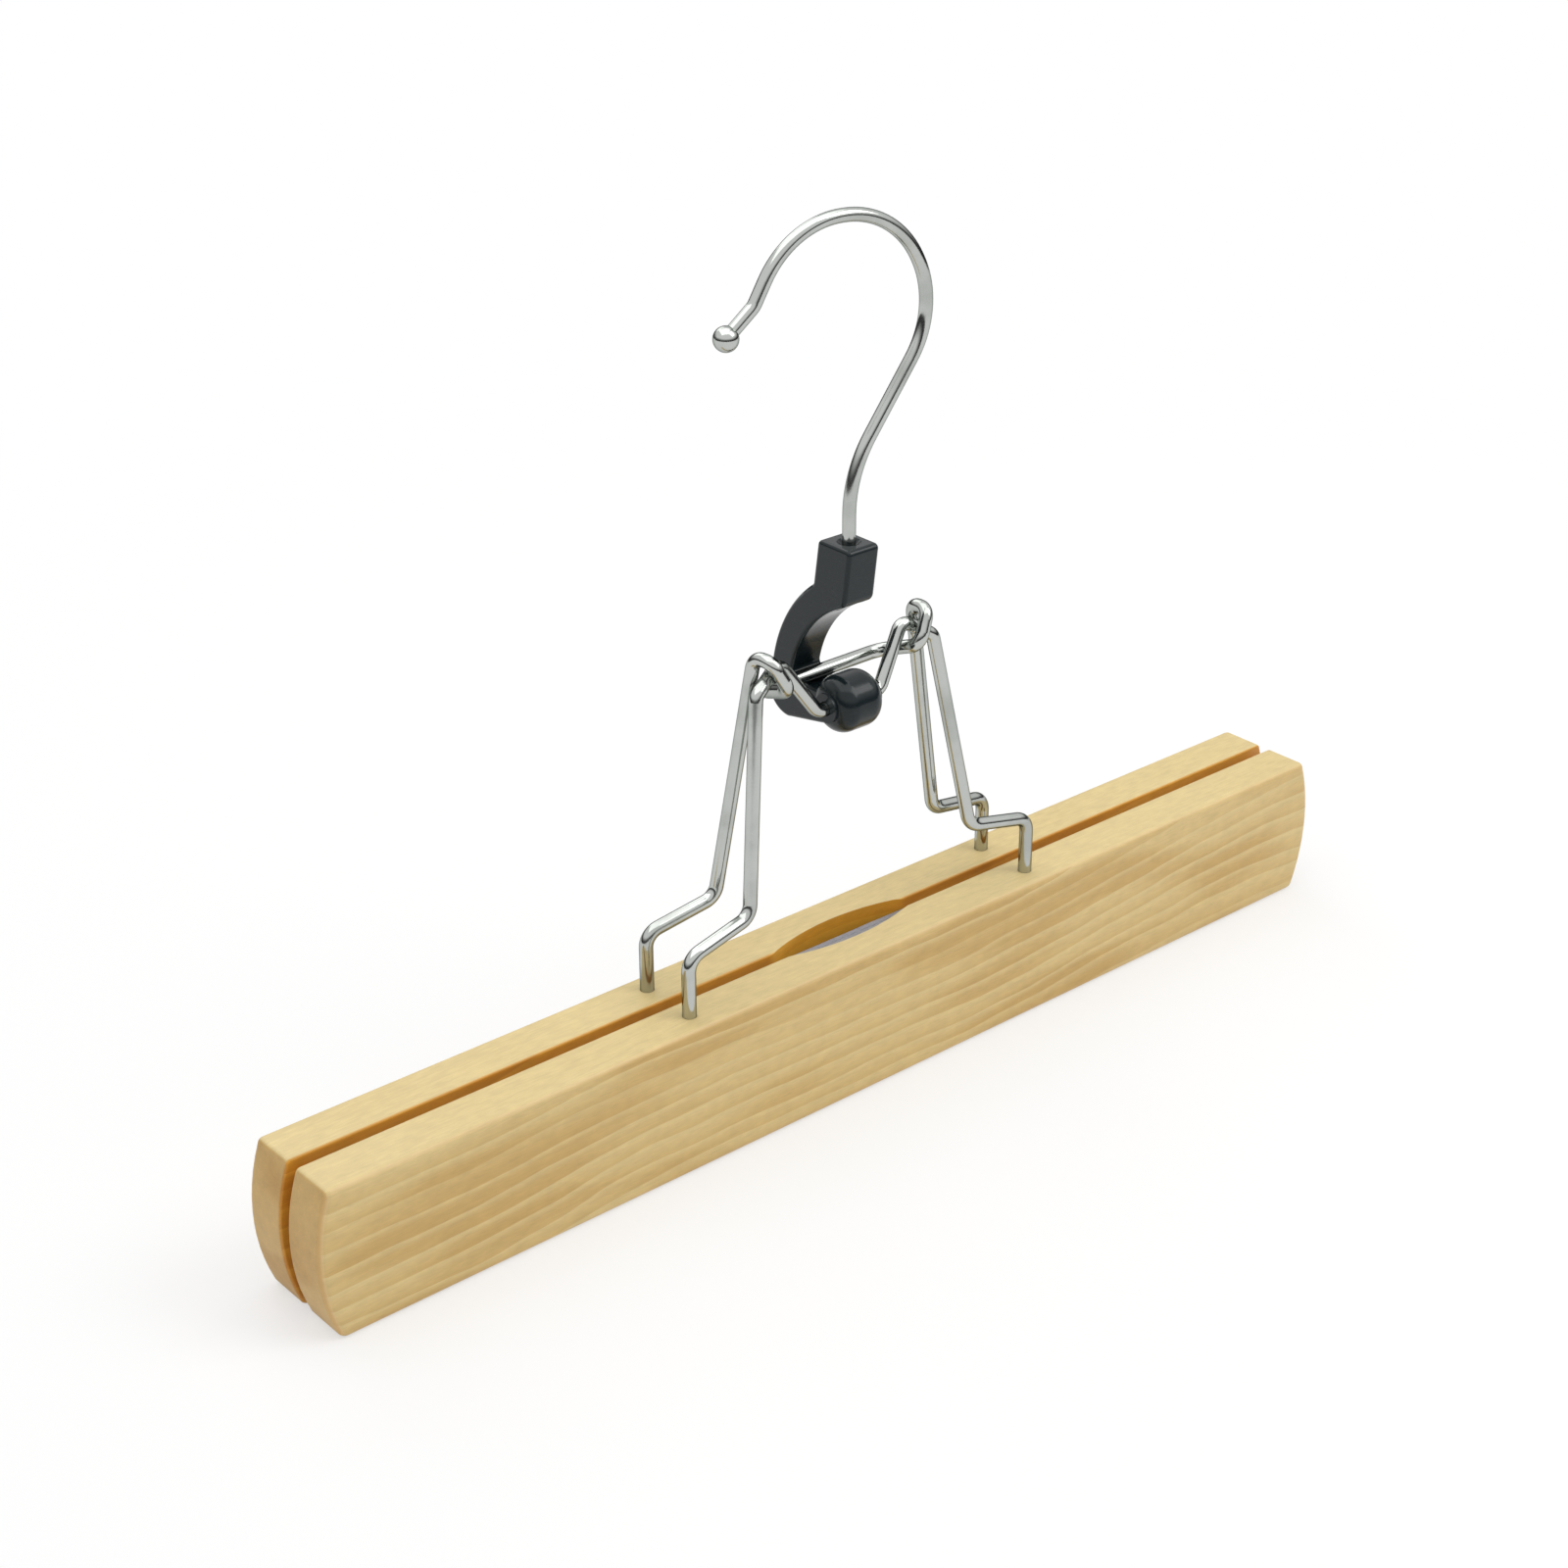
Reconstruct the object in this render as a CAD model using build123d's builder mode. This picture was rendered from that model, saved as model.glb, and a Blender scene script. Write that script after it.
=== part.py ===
from build123d import *
from math import cos, sin, radians
import os

# Skirt hanger: two wooden bars on linked wire frames, closed by a swinging lock lever under a swivel hook.
# Millimetres. X runs along the bars, the front bar is towards -Y, Z is up, undersides of the bars at Z 0.

# Wooden bars
bar_length = 300.0
bar_height = 36.0
bar_thickness = 11.8
end_bulge = 3.2
end_bulge_height = 18.5
low_end_inset = 4.0
top_corner_round = 1.2
low_corner_round = 2.0
outer_arris = 1.5
inner_arris = 0.7

# Felt linings on the inner faces of the bars
felt_thickness = 1.55
felt_top_drop = 2.8
felt_low_rise = 2.0
felt_end_inset = 8.0

# Shallow thumb scoop in the top of both inner faces, its two ends run out softly
scoop_length = 39.0
scoop_depth = 3.3
scoop_height = 12.0
scoop_end_round = 8.0

# Wire of the two frames and its sockets in the bars
wire_diameter = 3.2
socket_play = 0.04
post_x = 51.25
post_depth = 22.0
socket_spare = 1.0

# Line on which the loops of the rear frame turn over the front frame, and the lever pin below it
hinge_y = 0.3
hinge_z = 105.6
pin_ahead = 1.5
pin_drop = 11.85

# Front frame: post, knee, shoulder and peak at the hinge line, and the crank down to the lever pin
front_post_rise = 14.0
front_knee_x = 33.2
front_knee_y = 6.5
front_knee_rise = 3.7
shoulder_x = 25.9
shoulder_ahead = 0.7
shoulder_drop = 3.6
peak_x = 18.0
peak_behind = 1.25
peak_rise = 1.3
pin_half = 9.15
post_bend = 4.0
knee_bend = 4.0
shoulder_bend = 2.4
peak_bend = 2.4
pin_bend = 3.0

# Rear frame: post, knee, the loop over the front frame and the crossbar, which is placed from the pin
rear_post_rise = 13.9
rear_knee_x = 33.0
rear_knee_y = 5.8
rear_knee_rise = 3.6
loop_rear_x = 23.05
loop_rear_behind = 3.2
loop_rear_rise = 3.55
loop_front_x = 22.65
loop_front_ahead = 2.3
loop_front_rise = 3.85
loop_low_x = 19.0
loop_low_ahead = 3.9
loop_low_drop = 3.3
cross_corner_x = 17.5
cross_behind_pin = 9.1
cross_above_pin = 4.25
loop_bend = 2.8
loop_low_bend = 3.4
cross_bend = 3.8

# Lock lever, measured from the centre of its pin
lever_width = 8.8
block_front_y = 4.9
block_rear_y = 5.6
block_top = 37.25
block_low_front_y = 3.1
block_low_front_z = 23.9
block_low_round = 2.4
neck_y = 7.2
neck_z = 26.55
arm_mid_y = 16.6
arm_mid_z = 16.15
arm_rear_y = 21.3
arm_rear_z = 2.45
heel_y = 20.9
heel_z = 5.8
sole_y = 15.8
sole_z = 8.2
under_y = 2.0
under_z = 5.4
notch_y = 4.2
notch_z = 1.9
bed_y = 10.8
bed_z = 2.0
crook_y = 14.3
crook_z = 3.35
inside_mid_y = 8.0
inside_mid_z = 16.15
lip_gap = 0.35
lip_thickness = 1.2
lip_height = 4.2
lip_round = 0.5
lever_corner = 1.2
lever_round = 0.9
barrel_radius = 6.6
barrel_width = 12.4
barrel_round = 4.0
hub_radius = 3.4
hub_length = 13.8
pin_play = 0.08

# Swivel hook, its washer and the seat in the lever block
hook_wire = 3.0
stem_behind_pin = 0.3
hook_turn = -8.0
hook_radius = 21.3
hook_offset = 2.4
hook_centre_rise = 49.8
hook_start_angle = -34.0
hook_end_angle = 151.0
bow_corners = 3
arc_round_share = 0.98
stem_bend = 30.0
tip_run = 5.2
tip_bend = 4.0
ball_reach = 30.2
ball_rise = 49.9
ball_diameter = 5.5
ball_seam_angle = 180.0
stem_play = 0.08
seat_radius = 2.9
seat_ceiling = 27.95
washer_radius = 2.6
washer_thickness = 0.8
rivet_radius = 2.2
rivet_thickness = 1.2
countersink_radius = 2.7
countersink_depth = 1.0

# Derived places
overrun = bar_thickness
half_length = bar_length / 2
top_half = half_length - end_bulge
low_half = half_length - low_end_inset
wire_radius = wire_diameter / 2
bar_middle_y = felt_thickness + bar_thickness / 2
post_foot_z = bar_height - post_depth
socket_radius = wire_radius + socket_play
socket_floor_z = post_foot_z - socket_spare
scoop_radius = (scoop_length ** 2 / 4 + scoop_depth ** 2) / (2 * scoop_depth)
scoop_strip = scoop_length + 2 * scoop_end_round
felt_length = bar_length - 2 * felt_end_inset
felt_height = bar_height - felt_top_drop - felt_low_rise
felt_middle_z = felt_low_rise + felt_height / 2
pin_y = hinge_y - pin_ahead
pin_z = hinge_z - pin_drop
cross_y = pin_y + cross_behind_pin
cross_z = pin_z + cross_above_pin
front_post_top = bar_height + front_post_rise
rear_post_top = bar_height + rear_post_rise
stem_y = pin_y + stem_behind_pin
block_top_z = pin_z + block_top
seat_ceiling_z = pin_z + seat_ceiling
hook_wire_radius = hook_wire / 2

os.makedirs("parts", exist_ok=True)

# Front bar: the end profile bulges outwards, then bored for the posts and scooped at the top
bar_top_left = (-top_half, bar_height)
bar_top_right = (top_half, bar_height)
bar_low_left = (-low_half, 0)
bar_low_right = (low_half, 0)
bar_left_bulge = (-half_length, end_bulge_height)
bar_right_bulge = (half_length, end_bulge_height)

with BuildPart() as front_bar:
    with BuildSketch(Plane.XZ.offset(felt_thickness)) as front_outline:
        with BuildLine():
            Line(bar_top_left, bar_top_right)
            ThreePointArc(bar_top_right, bar_right_bulge, bar_low_right)
            Line(bar_low_right, bar_low_left)
            ThreePointArc(bar_low_left, bar_left_bulge, bar_top_left)
        make_face()
        fillet(front_outline.vertices().group_by(Axis.Y)[-1], top_corner_round)
        fillet(front_outline.vertices().group_by(Axis.Y)[0], low_corner_round)
    extrude(amount=bar_thickness)
    fillet(front_bar.faces().sort_by(Axis.Y)[0].edges(), outer_arris)
    fillet(front_bar.faces().sort_by(Axis.Y)[-1].edges(), inner_arris)
    with BuildSketch(Plane.XY.offset(bar_height)):
        with Locations((-post_x, -bar_middle_y), (post_x, -bar_middle_y)):
            Circle(socket_radius)
    extrude(amount=socket_floor_z - bar_height, mode=Mode.SUBTRACT)
    with BuildSketch(Plane.XY.offset(bar_height - scoop_height)) as front_scoop:
        with Locations((0, -felt_thickness - scoop_depth + scoop_radius)):
            Circle(scoop_radius)
        with Locations((0, -felt_thickness)):
            Rectangle(scoop_strip, overrun, align=(Align.CENTER, Align.MIN))
        fillet(front_scoop.vertices().group_by(Axis.Y)[0].sort_by(Axis.X)[1:-1], scoop_end_round)
    extrude(amount=scoop_height + overrun, mode=Mode.SUBTRACT)
front_bar.part.label = "front_bar"
export_step(front_bar.part, "parts/front_bar.step")

# Rear bar: the same board turned to face the front one
with BuildPart() as rear_bar:
    with BuildSketch(Plane.XZ.offset(-felt_thickness - bar_thickness)) as rear_outline:
        with BuildLine():
            Line(bar_top_left, bar_top_right)
            ThreePointArc(bar_top_right, bar_right_bulge, bar_low_right)
            Line(bar_low_right, bar_low_left)
            ThreePointArc(bar_low_left, bar_left_bulge, bar_top_left)
        make_face()
        fillet(rear_outline.vertices().group_by(Axis.Y)[-1], top_corner_round)
        fillet(rear_outline.vertices().group_by(Axis.Y)[0], low_corner_round)
    extrude(amount=bar_thickness)
    fillet(rear_bar.faces().sort_by(Axis.Y)[-1].edges(), outer_arris)
    fillet(rear_bar.faces().sort_by(Axis.Y)[0].edges(), inner_arris)
    with BuildSketch(Plane.XY.offset(bar_height)):
        with Locations((-post_x, bar_middle_y), (post_x, bar_middle_y)):
            Circle(socket_radius)
    extrude(amount=socket_floor_z - bar_height, mode=Mode.SUBTRACT)
    with BuildSketch(Plane.XY.offset(bar_height - scoop_height)) as rear_scoop:
        with Locations((0, felt_thickness + scoop_depth - scoop_radius)):
            Circle(scoop_radius)
        with Locations((0, felt_thickness)):
            Rectangle(scoop_strip, overrun, align=(Align.CENTER, Align.MAX))
        fillet(rear_scoop.vertices().group_by(Axis.Y)[-1].sort_by(Axis.X)[1:-1], scoop_end_round)
    extrude(amount=scoop_height + overrun, mode=Mode.SUBTRACT)
rear_bar.part.label = "rear_bar"
export_step(rear_bar.part, "parts/rear_bar.step")

# Felt linings: flat strips glued to the inner faces, meeting in the middle when the jaws are shut
with BuildPart() as front_felt:
    with Locations((0, -felt_thickness / 2, felt_middle_z)):
        Box(felt_length, felt_thickness, felt_height)
front_felt.part.label = "front_felt"
export_step(front_felt.part, "parts/front_felt.step")

with BuildPart() as rear_felt:
    with Locations((0, felt_thickness / 2, felt_middle_z)):
        Box(felt_length, felt_thickness, felt_height)
rear_felt.part.label = "rear_felt"
export_step(rear_felt.part, "parts/rear_felt.step")

# Front frame: one bent wire from post to post, cranked down in the middle into the lever pin
front_side = [
    (post_x, -bar_middle_y, post_foot_z),
    (post_x, -bar_middle_y, front_post_top),
    (front_knee_x, -front_knee_y, front_post_top + front_knee_rise),
    (shoulder_x, hinge_y - shoulder_ahead, hinge_z - shoulder_drop),
    (peak_x, hinge_y + peak_behind, hinge_z + peak_rise),
    (pin_half, pin_y, pin_z),
]
front_bends = [post_bend, knee_bend, shoulder_bend, peak_bend, pin_bend]
front_path = [(-x, y, z) for x, y, z in front_side] + front_side[::-1]

with BuildPart() as front_wire:
    with BuildLine():
        FilletPolyline(*front_path, radius=front_bends + front_bends[::-1])
    with BuildSketch(Plane.XY.offset(post_foot_z)):
        with Locations((-post_x, -bar_middle_y)):
            Circle(wire_radius)
    sweep()
front_wire.part.label = "front_wire"
export_step(front_wire.part, "parts/front_wire.step")

# Rear frame: one bent wire that loops over each peak of the front frame, joined by the crossbar
rear_side = [
    (post_x, bar_middle_y, post_foot_z),
    (post_x, bar_middle_y, rear_post_top),
    (rear_knee_x, rear_knee_y, rear_post_top + rear_knee_rise),
    (loop_rear_x, hinge_y + loop_rear_behind, hinge_z + loop_rear_rise),
    (loop_front_x, hinge_y - loop_front_ahead, hinge_z + loop_front_rise),
    (loop_low_x, hinge_y - loop_low_ahead, hinge_z - loop_low_drop),
    (cross_corner_x, cross_y, cross_z),
]
rear_bends = [post_bend, knee_bend, loop_bend, loop_bend, loop_low_bend, cross_bend]
rear_path = [(-x, y, z) for x, y, z in rear_side] + rear_side[::-1]

with BuildPart() as rear_wire:
    with BuildLine():
        FilletPolyline(*rear_path, radius=rear_bends + rear_bends[::-1])
    with BuildSketch(Plane.XY.offset(post_foot_z)):
        with Locations((-post_x, bar_middle_y)):
            Circle(wire_radius)
    sweep()
rear_wire.part.label = "rear_wire"
export_step(rear_wire.part, "parts/rear_wire.step")

# Lock lever: block at the top, arm curving back and under the crossbar, barrel on the pin at the front
lever_top_front = (pin_y - block_front_y, block_top_z)
lever_top_rear = (pin_y + block_rear_y, block_top_z)
lever_neck = (pin_y + neck_y, pin_z + neck_z)
lever_arm_mid = (pin_y + arm_mid_y, pin_z + arm_mid_z)
lever_arm_rear = (pin_y + arm_rear_y, pin_z + arm_rear_z)
lever_heel = (pin_y + heel_y, pin_z - heel_z)
lever_sole = (pin_y + sole_y, pin_z - sole_z)
lever_under = (pin_y + under_y, pin_z - under_z)
lever_notch = (pin_y + notch_y, pin_z + notch_z)
lever_bed = (pin_y + bed_y, pin_z + bed_z)
lever_crook = (pin_y + crook_y, pin_z + crook_z)
lever_inside_mid = (pin_y + inside_mid_y, pin_z + inside_mid_z)
lever_low_front = (pin_y - block_low_front_y, pin_z + block_low_front_z)
lip_front_y = cross_y + wire_radius + lip_gap

with BuildPart() as lock_lever:
    with BuildSketch(Plane.YZ) as lever_profile:
        with BuildLine():
            Polyline(lever_low_front, lever_top_front, lever_top_rear, lever_neck)
            ThreePointArc(lever_neck, lever_arm_mid, lever_arm_rear)
            ThreePointArc(lever_arm_rear, lever_heel, lever_sole)
            Polyline(lever_sole, lever_under, lever_notch, lever_bed, lever_crook)
            ThreePointArc(lever_crook, lever_inside_mid, lever_low_front)
        make_face()
        fillet(lever_profile.vertices().sort_by(Axis.X)[2:], lever_corner)
        fillet(lever_profile.vertices().sort_by(Axis.X)[1], block_low_round)
        fillet(lever_profile.vertices().sort_by(Axis.X)[0], lever_corner)
    extrude(amount=lever_width / 2, both=True)
    fillet(lock_lever.faces().filter_by(Plane.YZ).edges(), lever_round)
    with BuildSketch(Plane.YZ) as lip_profile:
        with Locations((lip_front_y, pin_z)):
            Rectangle(lip_thickness, lip_height, align=(Align.MIN, Align.MIN))
        fillet(lip_profile.vertices().group_by(Axis.Y)[-1], lip_round)
    extrude(amount=lever_width / 2 - lever_round, both=True)
    with BuildSketch(Plane.XZ.offset(-pin_y)) as barrel_profile:
        with Locations((0, pin_z)):
            Rectangle(barrel_width, barrel_radius, align=(Align.CENTER, Align.MIN))
        fillet(barrel_profile.vertices().group_by(Axis.Y)[-1], barrel_round)
    revolve(axis=Axis((0, pin_y, pin_z), (1, 0, 0)))
    with BuildSketch(Plane.YZ):
        with Locations((pin_y, pin_z)):
            Circle(hub_radius)
    extrude(amount=hub_length / 2, both=True)
    with BuildSketch(Plane.YZ):
        with Locations((pin_y, pin_z)):
            Circle(wire_radius + pin_play)
    extrude(amount=hub_length, both=True, mode=Mode.SUBTRACT)
    with BuildSketch(Plane.XY.offset(block_top_z)):
        with Locations((0, stem_y)):
            Circle(hook_wire_radius + stem_play)
    extrude(amount=seat_ceiling_z - block_top_z, mode=Mode.SUBTRACT)
    with BuildSketch(Plane.XY.offset(seat_ceiling_z)):
        with Locations((0, stem_y)):
            Circle(seat_radius)
    extrude(amount=-overrun, mode=Mode.SUBTRACT)
    with BuildSketch(Plane.XY.offset(block_top_z)):
        with Locations((0, stem_y)):
            Circle(countersink_radius)
    with BuildSketch(Plane.XY.offset(block_top_z - countersink_depth)):
        with Locations((0, stem_y)):
            Circle(hook_wire_radius + stem_play)
    loft(mode=Mode.SUBTRACT)
lock_lever.part.label = "lock_lever"
export_step(lock_lever.part, "parts/lock_lever.step")

# Swivel hook: stem, lean, near-circular bow and out-turned tip with a ball, riveted over below the washer
turn = radians(hook_turn)
arc_step = (hook_end_angle - hook_start_angle) / bow_corners
corner_reach = hook_radius / cos(radians(arc_step / 2))
start_angle = radians(hook_start_angle)
end_angle = radians(hook_end_angle)
start_s = -hook_offset + hook_radius * cos(start_angle)
start_rise = hook_centre_rise + hook_radius * sin(start_angle)
stem_corner_rise = start_rise - start_s * cos(start_angle) / -sin(start_angle)
end_s = -hook_offset + hook_radius * cos(end_angle) - tip_run * sin(end_angle)
end_rise = hook_centre_rise + hook_radius * sin(end_angle) + tip_run * cos(end_angle)
corner_angles = [start_angle + radians(arc_step * (k + 1 / 2)) for k in range(bow_corners)]
bow_s = [-hook_offset + corner_reach * cos(a) for a in corner_angles]
bow_rise = [hook_centre_rise + corner_reach * sin(a) for a in corner_angles]
bow = list(zip(bow_s, bow_rise))
hook_flat = [(0, stem_corner_rise)] + bow + [(end_s, end_rise), (-ball_reach, ball_rise)]
stem_foot_z = seat_ceiling_z - washer_thickness - rivet_thickness
hook_points = [(0, stem_y, stem_foot_z)]
hook_points += [(s * cos(turn), stem_y + s * sin(turn), block_top_z + rise) for s, rise in hook_flat]
bow_bend = hook_radius * arc_round_share

with BuildPart() as hook:
    with BuildLine():
        FilletPolyline(*hook_points, radius=[stem_bend, bow_bend, bow_bend, bow_bend, tip_bend])
    with BuildSketch(Plane.XY.offset(stem_foot_z)):
        with Locations((0, stem_y)):
            Circle(hook_wire_radius)
    sweep()
    with Locations(hook_points[-1]):
        Sphere(ball_diameter / 2, rotation=(0, 0, ball_seam_angle))
    with BuildSketch(Plane.XY.offset(stem_foot_z)):
        with Locations((0, stem_y)):
            Circle(rivet_radius)
    extrude(amount=rivet_thickness)
hook.part.label = "hook"
export_step(hook.part, "parts/hook.step")

# Washer between the rivet head of the stem and the ceiling of its seat
with BuildPart() as hook_washer:
    with BuildSketch(Plane.XY.offset(seat_ceiling_z)):
        with Locations((0, stem_y)):
            Circle(washer_radius)
            Circle(hook_wire_radius, mode=Mode.SUBTRACT)
    extrude(amount=-washer_thickness)
hook_washer.part.label = "hook_washer"
export_step(hook_washer.part, "parts/hook_washer.step")
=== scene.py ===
import math

import bmesh
import bpy
from mathutils import Matrix, Quaternion, Vector, noise


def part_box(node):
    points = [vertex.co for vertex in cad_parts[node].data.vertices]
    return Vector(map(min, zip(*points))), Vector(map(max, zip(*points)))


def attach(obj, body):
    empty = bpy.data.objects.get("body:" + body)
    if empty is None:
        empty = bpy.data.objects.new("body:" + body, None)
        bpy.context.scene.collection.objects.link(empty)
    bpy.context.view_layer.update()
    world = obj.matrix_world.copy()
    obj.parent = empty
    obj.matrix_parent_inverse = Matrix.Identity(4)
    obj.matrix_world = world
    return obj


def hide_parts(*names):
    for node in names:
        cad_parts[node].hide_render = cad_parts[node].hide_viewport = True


bl_info = {
    "name": "Skirt hanger",
    "version": (1, 0, 0),
    "blender": (4, 5, 0),
    "location": "View3D > Sidebar > Hanger",
    "description": "Finishes the wooden bars, wire frames, lock lever, hook and felts of a skirt hanger",
    "category": "Object",
}

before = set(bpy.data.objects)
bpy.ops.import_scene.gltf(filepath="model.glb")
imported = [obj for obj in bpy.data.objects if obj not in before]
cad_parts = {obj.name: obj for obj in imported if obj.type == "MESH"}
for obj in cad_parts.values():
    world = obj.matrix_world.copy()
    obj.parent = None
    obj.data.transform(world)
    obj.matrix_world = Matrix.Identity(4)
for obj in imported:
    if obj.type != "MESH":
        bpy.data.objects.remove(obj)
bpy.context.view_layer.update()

# Lengths are in metres, as the frame is
MM = 0.001

# Bars and wires, with the place in the noise that gives each its own grain or haze
BARS = {"front_bar": (3.1, 7.7, 1.9), "rear_bar": (11.3, 2.9, 5.1)}
WIRES = {"front_wire": (0.0, 2.1, 0.7), "rear_wire": (5.3, 2.1, 0.7), "hook": (10.6, 2.1, 0.7)}

# Wood: waves of each kind in a metre along, across and up the bar
WAVE_SCALE = (11, 24, 30)
RIPPLE_SCALE = (42, 90, 120)
PATCH_SCALE = (14, 44, 60)
FIBRE_SCALE = (34, 1150, 1150)
THREAD_SCALE = (260, 2600, 2600)
FLECK_SCALE = (420, 5200, 5200)
MOTTLE_SCALE = (240, 420, 420)

# Wood: the two stretches of a bar where the rings climb, and their shares of the run-out
FIRST_CLIMB, FIRST_CLIMB_SHARE = (-0.118, -0.062), 0.32
SECOND_CLIMB, SECOND_CLIMB_SHARE = (0.020, 0.135), 0.68
LOW_CLIMB_SHARE = 0.45
BAR_TOP = 0.036

# Wood: how uneven the rings are
RIPPLE_SHARE = 0.26
SPACING_PACE, SPACING_WANDER = 0.6, 0.7
RING_STEP, FAINTEST_RING = 7.31, 0.25

# Wood: how far a face turns towards a direction before it counts, and where the scoop ends
END_FACE = (0.45, 0.85)
TOP_FACE = (0.5, 0.9)
INNER_FACE = (0.25, 0.8)
ROUNDED_EDGE = (0.20, 0.48)
SCOOP_END = (0.0185, 0.0215)


# Sizes and colours that a user would change

class BarSettings(bpy.types.PropertyGroup):
    """Pale hardwood with a clear satin lacquer"""

    pale: bpy.props.FloatVectorProperty(
        name="Pale wood", description="Colour of the first wood of each ring",
        subtype="COLOR", size=3, min=0, max=1, default=(0.728, 0.578, 0.277))
    middle: bpy.props.FloatVectorProperty(
        name="Middle wood", description="Colour of most of each ring",
        subtype="COLOR", size=3, min=0, max=1, default=(0.676, 0.494, 0.208))
    dark: bpy.props.FloatVectorProperty(
        name="Dark wood", description="Colour of the last wood of each ring",
        subtype="COLOR", size=3, min=0, max=1, default=(0.572, 0.372, 0.124))
    # Lighter peach colour for the rounded outer edges: partly a painted highlight where they catch the light,
    # partly the warmer sanded lacquer
    edge_tint_and_highlight: bpy.props.FloatVectorProperty(
        name="Sanded edges", description="Colour of the lacquer where the edges were sanded round",
        subtype="COLOR", size=3, min=0, max=1, default=(0.800, 0.545, 0.270))
    end_tint: bpy.props.FloatVectorProperty(
        name="End grain", description="What end grain multiplies the wood's colour by",
        subtype="COLOR", size=3, min=0, max=1, default=(0.90, 0.80, 0.66))
    # Painted light on the thumb scoop's walls, lifting them out of the painted shade of the inner faces
    scoop_painted_light: bpy.props.FloatVectorProperty(
        name="Scoop", description="What the paler wood of the thumb scoop multiplies the inner faces by",
        subtype="COLOR", size=3, min=0, max=2, default=(1.30, 1.50, 1.60))
    # Painted shade and warm bounce light on the faces between the bars, multiplied into their colour
    inner_shade_and_bounce: bpy.props.FloatVectorProperty(
        name="Inner faces", description="What the lacquer pooled between the bars multiplies the colour by",
        subtype="COLOR", size=3, min=0, max=1, default=(1.0, 0.64, 0.165))
    ring_gap: bpy.props.FloatProperty(
        name="Ring gap", description="Distance between growth rings, square to them",
        unit="LENGTH", min=0.0002, default=0.0043)
    ring_lean: bpy.props.FloatProperty(
        name="Ring lean", description="Angle of the rings to the top faces",
        subtype="ANGLE", default=math.radians(11))
    run_out: bpy.props.FloatProperty(
        name="Run-out", description="How far the rings climb from the left end to the right end",
        unit="LENGTH", default=0.0115)
    waviness: bpy.props.FloatProperty(
        name="Waviness", description="How far slow waves push the rings about",
        unit="LENGTH", min=0, default=0.0074)
    roughness: bpy.props.FloatProperty(
        name="Roughness", description="Roughness of the lacquer", min=0, max=1, default=0.42)


class WireSettings(bpy.types.PropertyGroup):
    """Bright chrome plate over drawn wire"""

    plate: bpy.props.FloatVectorProperty(
        name="Plate", description="Colour of the chrome",
        subtype="COLOR", size=3, min=0, max=1, default=(0.495, 0.512, 0.490))
    haze: bpy.props.FloatVectorProperty(
        name="Haze", description="Colour of the thinner, duller patches of plate",
        subtype="COLOR", size=3, min=0, max=1, default=(0.405, 0.422, 0.398))
    roughness: bpy.props.FloatProperty(
        name="Roughness", description="Roughness of the bright plate", min=0, max=1, default=0.11)
    rim: bpy.props.FloatVectorProperty(
        name="Rim", description="What the plate mirrors at a glancing angle is multiplied by this",
        subtype="COLOR", size=3, min=0, max=1, default=(0.30, 0.32, 0.31))
    steel: bpy.props.FloatVectorProperty(
        name="Washer steel", description="Colour of the bare washer",
        subtype="COLOR", size=3, min=0, max=1, default=(0.56, 0.56, 0.55))


class LeverSettings(bpy.types.PropertyGroup):
    """Charcoal moulded plastic with a soft gloss"""

    body: bpy.props.FloatVectorProperty(
        name="Plastic", description="Colour of the moulding",
        subtype="COLOR", size=3, min=0, max=1, default=(0.0085, 0.0145, 0.0170))
    worn: bpy.props.FloatVectorProperty(
        name="Rubbed plastic", description="Colour where the moulding is rubbed",
        subtype="COLOR", size=3, min=0, max=1, default=(0.019, 0.026, 0.029))
    roughness: bpy.props.FloatProperty(
        name="Roughness", description="Roughness of the moulded skin", min=0, max=1, default=0.17)


class FeltSettings(bpy.types.PropertyGroup):
    """Grey wool felt, cut into strips and glued to the bars"""

    wool: bpy.props.FloatVectorProperty(
        name="Wool", description="Main colour of the felt",
        subtype="COLOR", size=3, min=0, max=1, default=(0.345, 0.345, 0.370))
    shade: bpy.props.FloatVectorProperty(
        name="Shaded wool", description="Colour of the darker fibres",
        subtype="COLOR", size=3, min=0, max=1, default=(0.215, 0.213, 0.235))
    cell: bpy.props.FloatProperty(
        name="Cell", description="Spacing of the strip's mesh", unit="LENGTH", min=0.0005, default=0.002)
    cut_wander: bpy.props.FloatProperty(
        name="Cut wander", description="How far the cut edges wander", unit="LENGTH", min=0, default=0.00012)
    wander_pace: bpy.props.FloatProperty(
        name="Wander pace", description="Waves of the cut edges in a metre", min=0, default=140.0)
    edge_round: bpy.props.FloatProperty(
        name="Edge round", description="Rounding of the cut edges", unit="LENGTH", min=0, default=0.00028)
    fibres: bpy.props.IntProperty(
        name="Fibres", description="Loose fibres on the cut edges of one strip", min=0, default=1800)
    fibre_length: bpy.props.FloatProperty(
        name="Fibre length", description="Length of a loose fibre", unit="LENGTH", min=0, default=0.0006)
    fibre_thickness: bpy.props.FloatProperty(
        name="Fibre thickness", description="Thickness of a loose fibre",
        unit="LENGTH", min=0, default=0.00004)


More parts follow.
